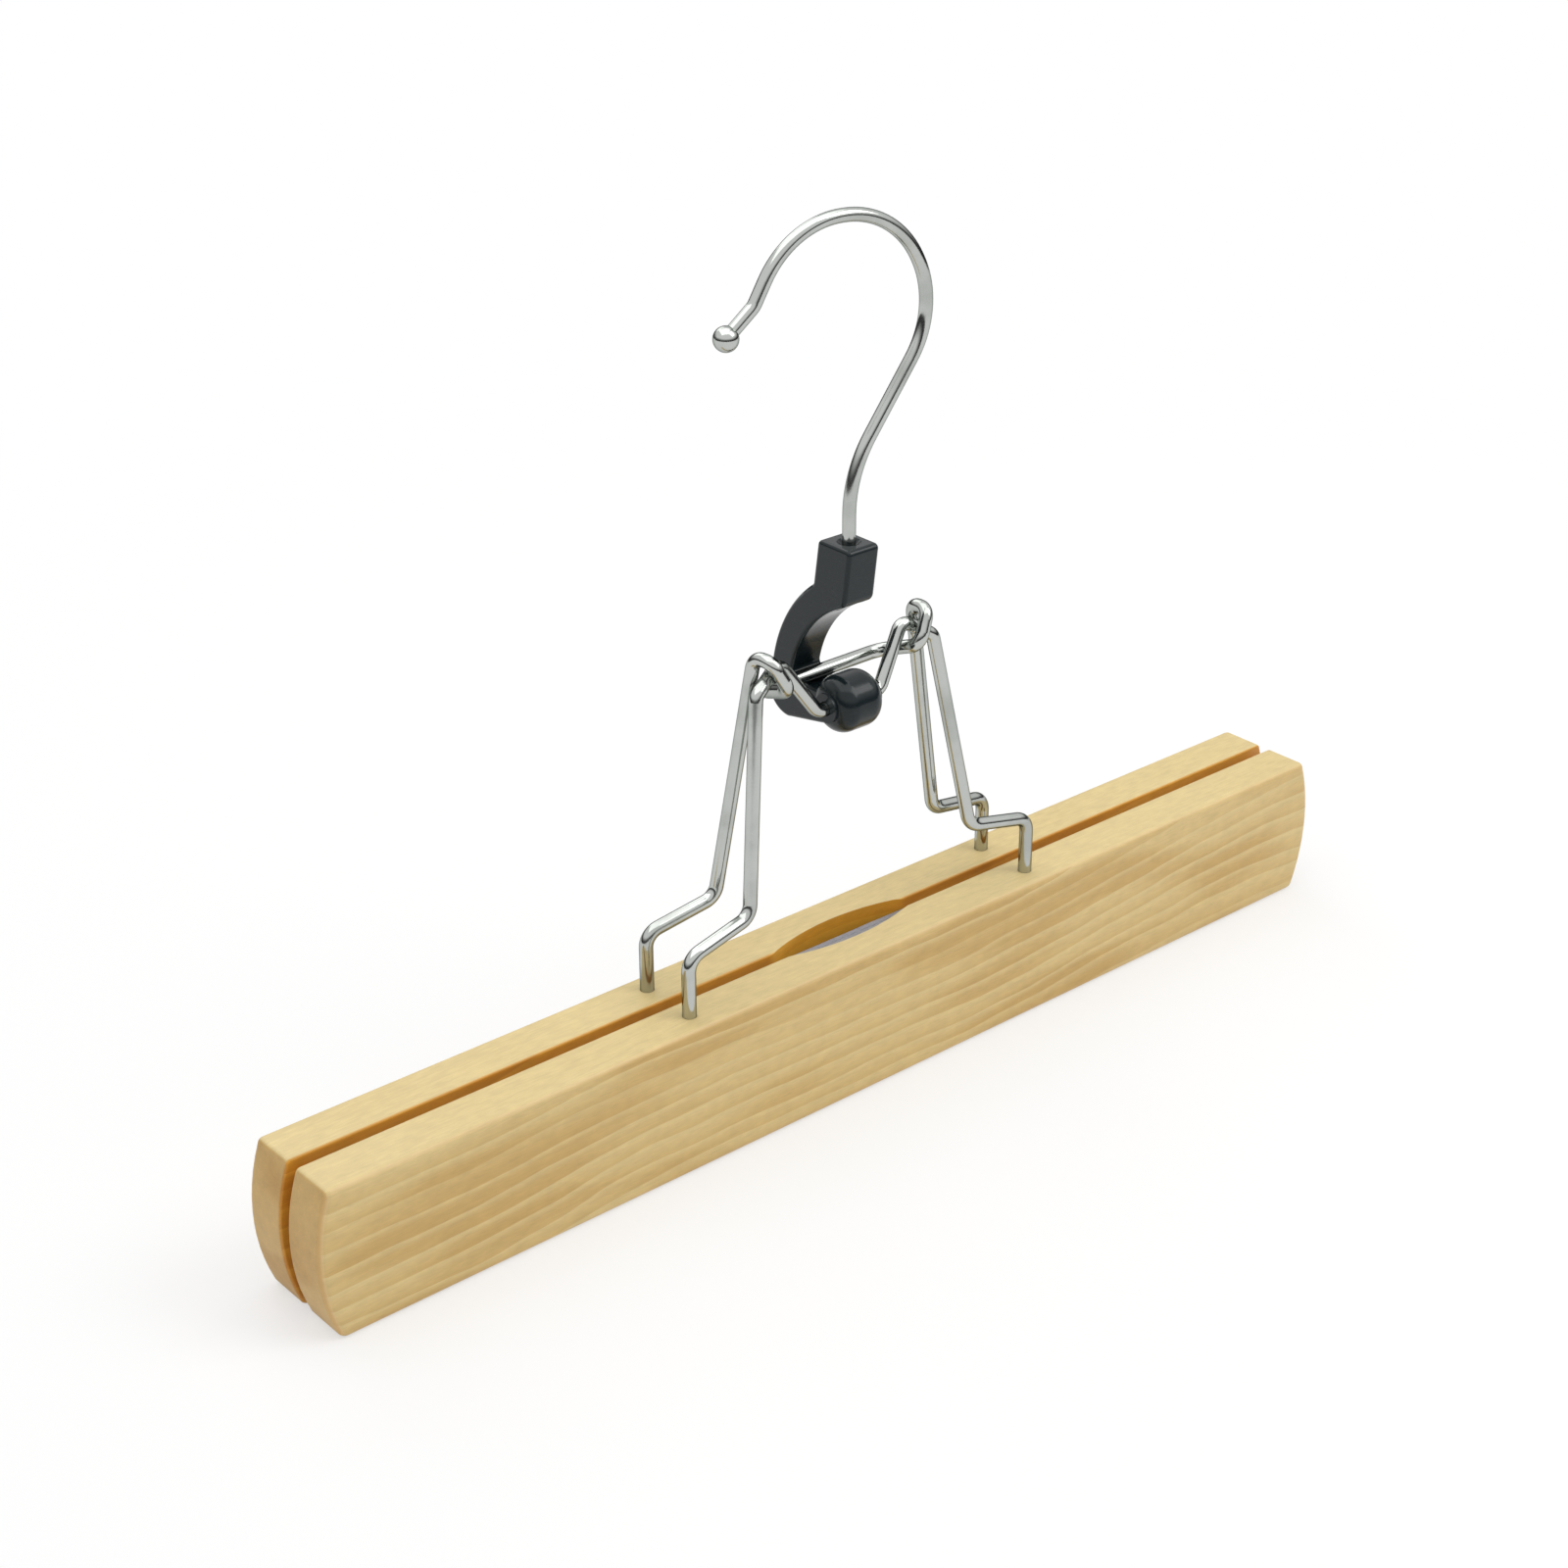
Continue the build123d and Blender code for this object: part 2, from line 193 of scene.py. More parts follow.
class StageSettings(bpy.types.PropertyGroup):
    """Camera, soft boxes, pale floor and the dark card that the metal mirrors"""

    camera_place: bpy.props.FloatVectorProperty(
        name="Camera", description="Place of the camera",
        subtype="TRANSLATION", unit="LENGTH", size=3, default=(-0.3694, -0.4123, 0.3470))
    camera_aim: bpy.props.FloatVectorProperty(
        name="Aim", description="Point in the middle of the picture",
        subtype="TRANSLATION", unit="LENGTH", size=3, default=(-0.01774, 0.0, 0.07847))
    camera_roll: bpy.props.FloatProperty(
        name="Roll", description="Turn of the camera about its line of sight",
        subtype="ANGLE", default=math.radians(-0.18))
    camera_lens: bpy.props.FloatProperty(
        name="Lens", description="Focal length on a 36 mm sensor, in millimetres", min=1, default=63.37)
    floor: bpy.props.FloatVectorProperty(
        name="Floor", description="Colour of the floor",
        subtype="COLOR", size=3, min=0, max=1, default=(0.96, 0.96, 0.96))
    floor_radius: bpy.props.FloatProperty(
        name="Floor radius", description="Radius of the round floor", unit="LENGTH", min=0.1, default=3.0)
    shadow_reach: bpy.props.FloatProperty(
        name="Shadow reach", description="Distance from the middle out to which the floor takes the shadow",
        unit="LENGTH", min=0, default=0.26)
    white_from: bpy.props.FloatProperty(
        name="White from", description="Distance from the middle at which the floor has turned plain white",
        unit="LENGTH", min=0, default=0.55)
    sky: bpy.props.FloatProperty(
        name="Sky", description="Level of the even light from all round", min=0, default=0.48)
    lamp_aim: bpy.props.FloatVectorProperty(
        name="Lamp aim", description="Point that all soft boxes look at",
        subtype="TRANSLATION", unit="LENGTH", size=3, default=(0, 0, 0.06))
    key: bpy.props.FloatProperty(
        name="Key light", description="Power of the large soft box at the front right, in watts",
        min=0, default=8.0)
    key_place: bpy.props.FloatVectorProperty(
        name="Key place", description="Place of the soft box at the front right",
        subtype="TRANSLATION", unit="LENGTH", size=3, default=(0.75, -0.85, 1.25))
    key_size: bpy.props.FloatProperty(
        name="Key size", description="Side of the soft box at the front right",
        unit="LENGTH", min=0.01, default=0.9)
    overhead: bpy.props.FloatProperty(
        name="Overhead light", description="Power of the wide soft box above, in watts", min=0, default=14.0)
    overhead_place: bpy.props.FloatVectorProperty(
        name="Overhead place", description="Place of the soft box above",
        subtype="TRANSLATION", unit="LENGTH", size=3, default=(-0.15, 0.1, 1.7))
    overhead_size: bpy.props.FloatProperty(
        name="Overhead size", description="Side of the soft box above",
        unit="LENGTH", min=0.01, default=2.0)
    rim: bpy.props.FloatProperty(
        name="Rim light", description="Power of the soft box behind, in watts", min=0, default=2.0)
    rim_place: bpy.props.FloatVectorProperty(
        name="Rim place", description="Place of the soft box behind",
        subtype="TRANSLATION", unit="LENGTH", size=3, default=(0.2, 1.1, 0.9))
    rim_size: bpy.props.FloatProperty(
        name="Rim size", description="Side of the soft box behind",
        unit="LENGTH", min=0.01, default=0.7)
    card_radius: bpy.props.FloatProperty(
        name="Card radius", description="Radius of the dark card round the set",
        unit="LENGTH", min=0.1, default=1.6)
    card_height: bpy.props.FloatProperty(
        name="Card height", description="Height at which the dark card has faded to white",
        unit="LENGTH", min=0.01, default=0.80)
    card_dark_top: bpy.props.FloatProperty(
        name="Card dark top", description="Height up to which the card is at its darkest",
        unit="LENGTH", min=0, default=0.18)
    card_shade: bpy.props.FloatProperty(
        name="Card shade", description="Level of the card where it is darkest", min=0, max=1, default=0.04)


# Node helpers

def make_material(name):
    """An empty material with its shader and output joined, and the tree it is in."""
    material = bpy.data.materials.new(name)
    material.use_nodes = True
    tree = material.node_tree
    tree.nodes.clear()
    shader = add(tree, "ShaderNodeBsdfPrincipled")
    output = add(tree, "ShaderNodeOutputMaterial")
    tree.links.new(shader.outputs["BSDF"], output.inputs["Surface"])
    return material, tree, shader


def add(tree, kind, **settings):
    """A new node with its own settings."""
    node = tree.nodes.new(kind)
    for key, value in settings.items():
        setattr(node, key, value)
    return node


def feed(tree, socket, value):
    """Joins a socket to what feeds it, or sets it to a plain value."""
    if isinstance(value, bpy.types.NodeSocket):
        tree.links.new(value, socket)
    elif hasattr(value, "__len__") and len(value) == 3 and socket.type == "RGBA":
        socket.default_value = (*value, 1.0)
    else:
        socket.default_value = value


def sums(tree, operation, first, second=0.0, third=None, clamp=False):
    """One sum of up to three numbers."""
    node = add(tree, "ShaderNodeMath", operation=operation, use_clamp=clamp)
    feed(tree, node.inputs[0], first)
    feed(tree, node.inputs[1], second)
    if third is not None:
        feed(tree, node.inputs[2], third)
    return node.outputs[0]


def stretched(tree, coordinates, scale, place=(0, 0, 0)):
    """Coordinates moved to a place of their own and stretched along the axes."""
    node = add(tree, "ShaderNodeMapping")
    feed(tree, node.inputs["Vector"], coordinates)
    node.inputs["Location"].default_value = place
    node.inputs["Scale"].default_value = scale
    return node.outputs["Vector"]


def speckle(tree, coordinates, scale=1.0, detail=2.0, roughness=0.5):
    """Noise from 0 to 1."""
    node = add(tree, "ShaderNodeTexNoise")
    feed(tree, node.inputs["Vector"], coordinates)
    node.inputs["Scale"].default_value = scale
    node.inputs["Detail"].default_value = detail
    node.inputs["Roughness"].default_value = roughness
    return node.outputs["Fac"]


def run_noise(tree, value, scale):
    """Noise from 0 to 1 along one number."""
    node = add(tree, "ShaderNodeTexNoise", noise_dimensions="1D")
    feed(tree, node.inputs["W"], value)
    node.inputs["Scale"].default_value = scale
    return node.outputs["Fac"]


def between(tree, value, low, high, to_low=0.0, to_high=1.0, smooth=False):
    """A value's range, moved onto another range and held inside it."""
    node = add(tree, "ShaderNodeMapRange", interpolation_type="SMOOTHSTEP" if smooth else "LINEAR")
    feed(tree, node.inputs["Value"], value)
    feed(tree, node.inputs["From Min"], low)
    feed(tree, node.inputs["From Max"], high)
    feed(tree, node.inputs["To Min"], to_low)
    feed(tree, node.inputs["To Max"], to_high)
    return node.outputs["Result"]


def blend_colours(tree, share, first, second, way="MIX"):
    """Two colours mixed, or one multiplied by the other."""
    node = add(tree, "ShaderNodeMix", data_type="RGBA", blend_type=way)
    feed(tree, node.inputs["Factor"], share)
    feed(tree, node.inputs[6], first)
    feed(tree, node.inputs[7], second)
    return node.outputs[2]


def tinted(tree, share, colour, tint):
    """A colour, of which a share is multiplied by a tint."""
    return blend_colours(tree, share, colour, blend_colours(tree, 1.0, colour, tint, "MULTIPLY"))


def relief(tree, shader, height, depth, strength=1.0):
    """Fine relief on a surface, from a height of 0 to 1 and its depth in metres."""
    node = add(tree, "ShaderNodeBump")
    node.inputs["Strength"].default_value = strength
    node.inputs["Distance"].default_value = depth
    feed(tree, node.inputs["Height"], height)
    tree.links.new(node.outputs["Normal"], shader.inputs["Normal"])


def dress(piece, material):
    """A piece wears one material all over."""
    piece.data.materials.clear()
    piece.data.materials.append(material)


# Materials

def ring_depth(tree, place, settings, shift):
    """How many rings deep a place lies, with slow waves and two stretches where the rings climb."""
    split = add(tree, "ShaderNodeSeparateXYZ")
    feed(tree, split.inputs[0], place)
    x, y, z = split.outputs
    waves = speckle(tree, stretched(tree, place, WAVE_SCALE, shift), detail=1.0)
    ripples = speckle(tree, stretched(tree, place, RIPPLE_SCALE, shift), detail=1.0)
    first = between(tree, x, *FIRST_CLIMB, 0.0, FIRST_CLIMB_SHARE, smooth=True)
    second = between(tree, x, *SECOND_CLIMB, 0.0, SECOND_CLIMB_SHARE, smooth=True)
    high_share = between(tree, z, 0.0, BAR_TOP, LOW_CLIMB_SHARE, 1.0)
    climb = sums(tree, "ADD", first, sums(tree, "MULTIPLY", second, high_share))
    depth = sums(tree, "MULTIPLY", z, -math.cos(settings.ring_lean) / settings.ring_gap)
    pushes = ((y, math.sin(settings.ring_lean)), (climb, settings.run_out),
              (waves, settings.waviness), (ripples, RIPPLE_SHARE * settings.waviness))
    for push, length in pushes:
        depth = sums(tree, "MULTIPLY_ADD", push, length / settings.ring_gap, depth)
    return sums(tree, "MULTIPLY_ADD", run_noise(tree, depth, SPACING_PACE), SPACING_WANDER, depth)


def wood_tone(tree, fibres, threads, mottle, flecks):
    """The light and dark of all that is finer than a ring, as one grey."""
    tone = between(tree, fibres, 0.0, 1.0, 0.92, 1.08)
    fine = ((threads, (0.25, 0.75), (0.94, 1.06)), (mottle, (0.3, 0.7), (0.955, 1.045)),
            (flecks, (0.68, 0.78), (1.0, 0.90)))
    for pattern, limits, tones in fine:
        tone = sums(tree, "MULTIPLY", tone, between(tree, pattern, *limits, *tones))
    grey = add(tree, "ShaderNodeCombineColor")
    for channel in grey.inputs:
        feed(tree, channel, tone)
    return grey.outputs[0]


def lacquered_wood(name, settings, inner_side, shift):
    """Ring-grained wood: wavy rings, fine fibres and flecks, with redder ends, paler painted-lit tops,
    painted highlights on the rounded edges, a redder inner face of painted shade and bounce light, and
    painted light in the thumb scoop.
    """
    material, tree, shader = make_material(name)
    where = add(tree, "ShaderNodeTexCoord")
    place = where.outputs["Object"]
    facing = add(tree, "ShaderNodeSeparateXYZ")
    feed(tree, facing.inputs[0], where.outputs["Normal"])
    along, across, up = (sums(tree, "ABSOLUTE", side) for side in facing.outputs)
    inward = sums(tree, "MULTIPLY", facing.outputs[1], inner_side)
    end_facing = between(tree, along, *END_FACE, smooth=True)
    inner_facing = between(tree, inward, *INNER_FACE, smooth=True)

    depth = ring_depth(tree, place, settings, shift)
    phase = sums(tree, "FRACT", depth)
    ring = run_noise(tree, sums(tree, "FLOOR", depth), RING_STEP)
    ring_weight = between(tree, ring, 0.3, 0.7, FAINTEST_RING, 1.0)
    fibres = speckle(tree, stretched(tree, place, FIBRE_SCALE, shift), detail=3.0, roughness=0.65)
    threads = speckle(tree, stretched(tree, place, THREAD_SCALE, shift), detail=2.0, roughness=0.6)
    flecks = speckle(tree, stretched(tree, place, FLECK_SCALE, shift), detail=1.0)
    patches = speckle(tree, stretched(tree, place, PATCH_SCALE, shift), detail=1.5)
    mottle = speckle(tree, stretched(tree, place, MOTTLE_SCALE, shift), detail=2.0)

    # Each ring starts pale, darkens slowly and ends in a sharp dark line, least so on the ends and the tops
    calm = between(tree, along, *END_FACE, 1.0, 0.12, smooth=True)
    calm = sums(tree, "MULTIPLY", calm, between(tree, up, *TOP_FACE, 1.0, 0.22, smooth=True))
    calm = sums(tree, "MULTIPLY", calm, ring_weight)
    early = sums(tree, "MULTIPLY", between(tree, phase, 0.0, 0.55, 1.0, 0.0, smooth=True), calm)
    # The top faces are painted paler: painted light from above
    painted_lit_top = between(tree, up, *TOP_FACE, 0.0, 0.85, smooth=True)
    late = sums(tree, "MULTIPLY", between(tree, phase, 0.48, 0.97, 0.0, 0.62, smooth=True), calm)
    gold = between(tree, patches, 0.45, 0.62, 0.0, 0.85, smooth=True)
    dark_share = sums(tree, "ADD", late, gold, clamp=True)
    colour = blend_colours(tree, dark_share, settings.middle, settings.dark)
    colour = blend_colours(tree, sums(tree, "MAXIMUM", early, painted_lit_top), colour, settings.pale)
    tone = wood_tone(tree, fibres, threads, mottle, flecks)
    colour = blend_colours(tree, 1.0, colour, tone, "MULTIPLY")

    # The rounded outer edges are painted lighter and peach-coloured: partly a painted highlight where they
    # catch the light, partly the warmer lacquer where they were sanded round
    upper_edge = sums(tree, "MULTIPLY", across, up)
    end_edge = sums(tree, "MULTIPLY", across, along)
    upper_edge = between(tree, upper_edge, *ROUNDED_EDGE, 0.0, 0.25, smooth=True)
    end_edge = between(tree, end_edge, *ROUNDED_EDGE, 0.0, 0.4, smooth=True)
    outer_side = sums(tree, "LESS_THAN", inward, 0.0)
    edge = sums(tree, "MULTIPLY", sums(tree, "MAXIMUM", upper_edge, end_edge), outer_side)
    colour = blend_colours(tree, edge, colour, settings.edge_tint_and_highlight)

    # End grain drinks more lacquer, and the faces between the bars get painted shade and a painted warm
    # bounce light, as they stay in each other's shade
    colour = tinted(tree, end_facing, colour, settings.end_tint)
    colour = tinted(tree, inner_facing, colour, settings.inner_shade_and_bounce)
    # The inner faces in the thumb scoop get painted light, paler than the painted shade of the gap
    split = add(tree, "ShaderNodeSeparateXYZ")
    feed(tree, split.inputs[0], place)
    from_middle = sums(tree, "ABSOLUTE", split.outputs[0])
    in_scoop = between(tree, from_middle, *SCOOP_END, 1.0, 0.0, smooth=True)
    scoop_light_share = sums(tree, "MULTIPLY", inner_facing, in_scoop)
    colour = tinted(tree, scoop_light_share, colour, settings.scoop_painted_light)
    tree.links.new(colour, shader.inputs["Base Color"])

    # Handling dulls the lacquer in patches, and it sinks into the fibres
    dull = sums(tree, "MULTIPLY_ADD", patches, 0.16, settings.roughness - 0.08)
    dull = sums(tree, "MULTIPLY_ADD", fibres, 0.10, dull)
    tree.links.new(sums(tree, "MULTIPLY_ADD", end_facing, 0.08, dull), shader.inputs["Roughness"])
    shader.inputs["Specular IOR Level"].default_value = 0.42
    shader.inputs["Coat Weight"].default_value = 0.12
    shader.inputs["Coat Roughness"].default_value = 0.28
    grain = sums(tree, "MULTIPLY_ADD", threads, 0.6, sums(tree, "MULTIPLY", phase, 0.3))
    relief(tree, shader, grain, 0.03 * MM, 0.6)
    return material


def chrome_plate(name, settings, shift):
    """Bright plate with faint haze, drawing marks and pin-point pits."""
    material, tree, shader = make_material(name)
    place = add(tree, "ShaderNodeTexCoord").outputs["Object"]
    haze = speckle(tree, stretched(tree, place, (70, 70, 70), shift), detail=3.0, roughness=0.6)
    grain = speckle(tree, stretched(tree, place, (900, 900, 320), shift), detail=2.0)
    pits = speckle(tree, stretched(tree, place, (2600, 2600, 2600), shift), detail=1.0)
    dull = between(tree, haze, 0.45, 0.75, smooth=True)
    tree.links.new(blend_colours(tree, dull, settings.plate, settings.haze), shader.inputs["Base Color"])
    rough = sums(tree, "MULTIPLY_ADD", dull, 0.07, settings.roughness - 0.02)
    rough = sums(tree, "MULTIPLY_ADD", grain, 0.05, rough)
    tree.links.new(rough, shader.inputs["Roughness"])
    shader.inputs["Metallic"].default_value = 1.0
    feed(tree, shader.inputs["Specular Tint"], tuple(settings.rim))
    height = sums(tree, "MULTIPLY_ADD", between(tree, pits, 0.2, 0.35), 0.4, grain)
    relief(tree, shader, height, 0.01 * MM, 0.35)
    return material


def bare_steel(name, settings):
    """Stamped washer with turning marks round its axis."""
    material, tree, shader = make_material(name)
    place = add(tree, "ShaderNodeTexCoord").outputs["Object"]
    marks = speckle(tree, stretched(tree, place, (1800, 1800, 6000)), detail=3.0)
    stain = speckle(tree, stretched(tree, place, (500, 500, 500)), detail=2.0)
    colour = blend_colours(tree, between(tree, stain, 0.4, 0.7, 0.0, 0.5), settings.steel,
                           tuple(0.7 * c for c in settings.steel))
    tree.links.new(colour, shader.inputs["Base Color"])
    tree.links.new(between(tree, marks, 0.2, 0.8, 0.24, 0.42), shader.inputs["Roughness"])
    shader.inputs["Metallic"].default_value = 1.0
    relief(tree, shader, marks, 0.02 * MM, 0.5)
    return material


def moulded_plastic(name, settings):
    """Charcoal moulding: fine spark-eroded skin, slow sheen changes and rubbed high spots."""
    material, tree, shader = make_material(name)
    place = add(tree, "ShaderNodeTexCoord").outputs["Object"]
    skin = speckle(tree, stretched(tree, place, (5200, 5200, 5200)), detail=2.0)
    flow = speckle(tree, stretched(tree, place, (160, 220, 90)), detail=3.0, roughness=0.6)
    rubs = speckle(tree, stretched(tree, place, (420, 420, 900)), detail=4.0, roughness=0.7)
    worn = between(tree, rubs, 0.52, 0.78, 0.0, 0.75, smooth=True)
    tree.links.new(blend_colours(tree, worn, settings.body, settings.worn), shader.inputs["Base Color"])
    rough = sums(tree, "MULTIPLY_ADD", flow, 0.16, settings.roughness - 0.08)
    rough = sums(tree, "MULTIPLY_ADD", worn, 0.10, rough)
    tree.links.new(rough, shader.inputs["Roughness"])
    shader.inputs["Specular IOR Level"].default_value = 0.3
    height = sums(tree, "MULTIPLY_ADD", skin, 0.5, sums(tree, "MULTIPLY", flow, 1.5))
    relief(tree, shader, height, 0.01 * MM, 0.3)
    return material


def wool_felt(name, settings):
    """Pressed wool: matted fibres of two greys with a soft bloom."""
    material, tree, shader = make_material(name)
    place = add(tree, "ShaderNodeTexCoord").outputs["Object"]
    mats = speckle(tree, stretched(tree, place, (900, 900, 900)), detail=4.0, roughness=0.7)
    strands = speckle(tree, stretched(tree, place, (2400, 5200, 3600)), detail=3.0, roughness=0.7)
    patches = speckle(tree, stretched(tree, place, (60, 60, 60)), detail=2.0)
    share = sums(tree, "MULTIPLY_ADD", strands, 0.6, sums(tree, "MULTIPLY", mats, 0.4))
    colour = blend_colours(tree, between(tree, share, 0.35, 0.65), settings.shade, settings.wool)
    pale = tuple(1.22 * c for c in settings.wool)
    colour = blend_colours(tree, between(tree, patches, 0.4, 0.8, 0.0, 0.5), colour, pale)
    tree.links.new(colour, shader.inputs["Base Color"])
    tree.links.new(between(tree, mats, 0.3, 0.7, 0.86, 0.98), shader.inputs["Roughness"])
    shader.inputs["Specular IOR Level"].default_value = 0.2
    shader.inputs["Sheen Weight"].default_value = 0.35
    shader.inputs["Sheen Roughness"].default_value = 0.5
    relief(tree, shader, share, 0.2 * MM, 0.7)
    return material


# Felt strips

def felt_strip(name, low, high, settings, seed):
    """A strip of felt with cut edges that wander a little and soft corners, as a plain mesh."""
    low, high = Vector(low), Vector(high)
    size = high - low
    columns, rows = max(2, round(size.x / settings.cell)), max(2, round(size.z / settings.cell))
    mesh = bpy.data.meshes.new(name)
    shape = bmesh.new()
    sides = []
    for y in (low.y, high.y):
        grid = [[shape.verts.new((low.x + size.x * i / columns, y, low.z + size.z * j / rows))
                 for j in range(rows + 1)] for i in range(columns + 1)]
        sides.append(grid)
    near, far = sides
    for i in range(columns):
        for j in range(rows):
            shape.faces.new((near[i][j], near[i + 1][j], near[i + 1][j + 1], near[i][j + 1]))
            shape.faces.new((far[i][j], far[i][j + 1], far[i + 1][j + 1], far[i + 1][j]))
        for j in (0, rows):
            shape.faces.new((near[i][j], near[i + 1][j], far[i + 1][j], far[i][j]))
    for j in range(rows):
        for i in (0, columns):
            shape.faces.new((near[i][j], near[i][j + 1], far[i][j + 1], far[i][j]))
    bmesh.ops.recalc_face_normals(shape, faces=shape.faces)
    for grid in sides:
        for i in range(columns + 1):
            for j in range(rows + 1):
                corner = grid[i][j]
                wave = noise.noise_vector(corner.co * settings.wander_pace + Vector((seed, 0, 0)))
                if j in (0, rows):
                    corner.co.z += settings.cut_wander * wave.z
                if i in (0, columns):
                    corner.co.x += settings.cut_wander * wave.x
    shape.to_mesh(mesh)
    shape.free()
    strip = bpy.data.objects.new(name, mesh)
    bpy.context.scene.collection.objects.link(strip)
    soften = strip.modifiers.new("Soft corners", "BEVEL")
    soften.width = settings.edge_round
    soften.segments = 3
    soften.limit_method = "ANGLE"
    soften.angle_limit = math.radians(50)
    bake_modifiers(strip)
    for face in strip.data.polygons:
        face.use_smooth = True
    return strip


def bake_modifiers(piece):
    """Turns what the modifiers make into the piece's own plain mesh, and removes them."""
    view = bpy.context.evaluated_depsgraph_get()
    finished = bpy.data.meshes.new_from_object(piece.evaluated_get(view))
    piece.modifiers.clear()
    old = piece.data
    piece.data = finished
    finished.name = piece.name
    if old.users == 0:
        bpy.data.meshes.remove(old)


def fibre_tree(material):
    """Geometry Nodes that grow short bent fibres on the cut edges of a felt strip."""
    edge_limit = 0.4
    bend_share = 0.5
    tip = 0.7
    smallest, largest = 0.35, 1.0
    tree = bpy.data.node_groups.new("Loose fibres", "GeometryNodeTree")
    face = tree.interface
    face.new_socket("Geometry", in_out="INPUT", socket_type="NodeSocketGeometry")
    for name, kind in (("Density", "NodeSocketFloat"), ("Length", "NodeSocketFloat"),
                       ("Thickness", "NodeSocketFloat"), ("Seed", "NodeSocketInt")):
        face.new_socket(name, in_out="INPUT", socket_type=kind)
    face.new_socket("Geometry", in_out="OUTPUT", socket_type="NodeSocketGeometry")
    given = add(tree, "NodeGroupInput").outputs
    made = add(tree, "NodeGroupOutput")

    # Only faces that look along or up the bar are cut edges
    normal = add(tree, "GeometryNodeInputNormal")
    parts = add(tree, "ShaderNodeSeparateXYZ")
    tree.links.new(normal.outputs[0], parts.inputs[0])
    flatness = add(tree, "ShaderNodeMath", operation="ABSOLUTE")
    tree.links.new(parts.outputs["Y"], flatness.inputs[0])
    cut_edge = add(tree, "ShaderNodeMath", operation="LESS_THAN")
    tree.links.new(flatness.outputs[0], cut_edge.inputs[0])
    cut_edge.inputs[1].default_value = edge_limit
    spread = add(tree, "GeometryNodeDistributePointsOnFaces")
    tree.links.new(given["Geometry"], spread.inputs["Mesh"])
    tree.links.new(cut_edge.outputs[0], spread.inputs["Selection"])
    tree.links.new(given["Density"], spread.inputs["Density"])
    tree.links.new(given["Seed"], spread.inputs["Seed"])

    # One fibre: a bent line with a three-sided skin
    bend = add(tree, "GeometryNodeCurvePrimitiveBezierSegment")
    bend.inputs["Resolution"].default_value = 3
    reach = add(tree, "ShaderNodeCombineXYZ")
    tree.links.new(given["Length"], reach.inputs["Z"])
    side = add(tree, "ShaderNodeMath", operation="MULTIPLY")
    tree.links.new(given["Length"], side.inputs[0])
    side.inputs[1].default_value = bend_share
    tree.links.new(side.outputs[0], reach.inputs["X"])
    handle = add(tree, "ShaderNodeCombineXYZ")
    tree.links.new(side.outputs[0], handle.inputs["Z"])
    bend.inputs["Start"].default_value = (0, 0, 0)
    tree.links.new(handle.outputs[0], bend.inputs["Start Handle"])
    tree.links.new(reach.outputs[0], bend.inputs["End"])
    tree.links.new(reach.outputs[0], bend.inputs["End Handle"])
    ring = add(tree, "GeometryNodeCurvePrimitiveCircle")
    ring.inputs["Resolution"].default_value = 3
    half = add(tree, "ShaderNodeMath", operation="MULTIPLY")
    tree.links.new(given["Thickness"], half.inputs[0])
    half.inputs[1].default_value = 0.5
    tree.links.new(half.outputs[0], ring.inputs["Radius"])
    skin = add(tree, "GeometryNodeCurveToMesh")
    tree.links.new(bend.outputs["Curve"], skin.inputs["Curve"])
    tree.links.new(ring.outputs["Curve"], skin.inputs["Profile Curve"])
    skin.inputs["Fill Caps"].default_value = True

    # Each fibre stands on its face, spun and tipped at random
    spin = add(tree, "FunctionNodeRandomValue", data_type="FLOAT_VECTOR")
    spin.inputs["Min"].default_value = (-tip, -tip, -math.pi)
    spin.inputs["Max"].default_value = (tip, tip, math.pi)
    tree.links.new(given["Seed"], spin.inputs["Seed"])
    turn = add(tree, "FunctionNodeRotateRotation", rotation_space="LOCAL")
    tree.links.new(spread.outputs["Rotation"], turn.inputs["Rotation"])
    tree.links.new(spin.outputs["Value"], turn.inputs["Rotate By"])
    stand = add(tree, "GeometryNodeInstanceOnPoints")
    tree.links.new(spread.outputs["Points"], stand.inputs["Points"])
    tree.links.new(skin.outputs["Mesh"], stand.inputs["Instance"])
    tree.links.new(turn.outputs["Rotation"], stand.inputs["Rotation"])
    size = add(tree, "FunctionNodeRandomValue", data_type="FLOAT")
    size.inputs[2].default_value = smallest
    size.inputs[3].default_value = largest
    tree.links.new(size.outputs[1], stand.inputs["Scale"])
    real = add(tree, "GeometryNodeRealizeInstances")
    tree.links.new(stand.outputs["Instances"], real.inputs["Geometry"])
    colour = add(tree, "GeometryNodeSetMaterial")
    colour.inputs["Material"].default_value = material
    tree.links.new(real.outputs["Geometry"], colour.inputs["Geometry"])
    tree.links.new(colour.outputs["Geometry"], made.inputs["Geometry"])
    return tree


def loose_fibres(name, strip, settings, tree, seed):
    """The fibres of one strip, as a plain mesh of their own."""
    fuzz = bpy.data.objects.new(name, strip.data.copy())
    bpy.context.scene.collection.objects.link(fuzz)
    low, high = Vector(strip.bound_box[0]), Vector(strip.bound_box[6])
    size = high - low
    cut_area = 2 * (size.x + size.z) * size.y
    grow = fuzz.modifiers.new("Loose fibres", "NODES")
    grow.node_group = tree
    sockets = {item.name: item.identifier for item in tree.interface.items_tree if item.in_out == "INPUT"}
    grow[sockets["Density"]] = settings.fibres / cut_area
    grow[sockets["Length"]] = settings.fibre_length
    grow[sockets["Thickness"]] = settings.fibre_thickness
    grow[sockets["Seed"]] = seed
    bake_modifiers(fuzz)
    return fuzz


# Stage

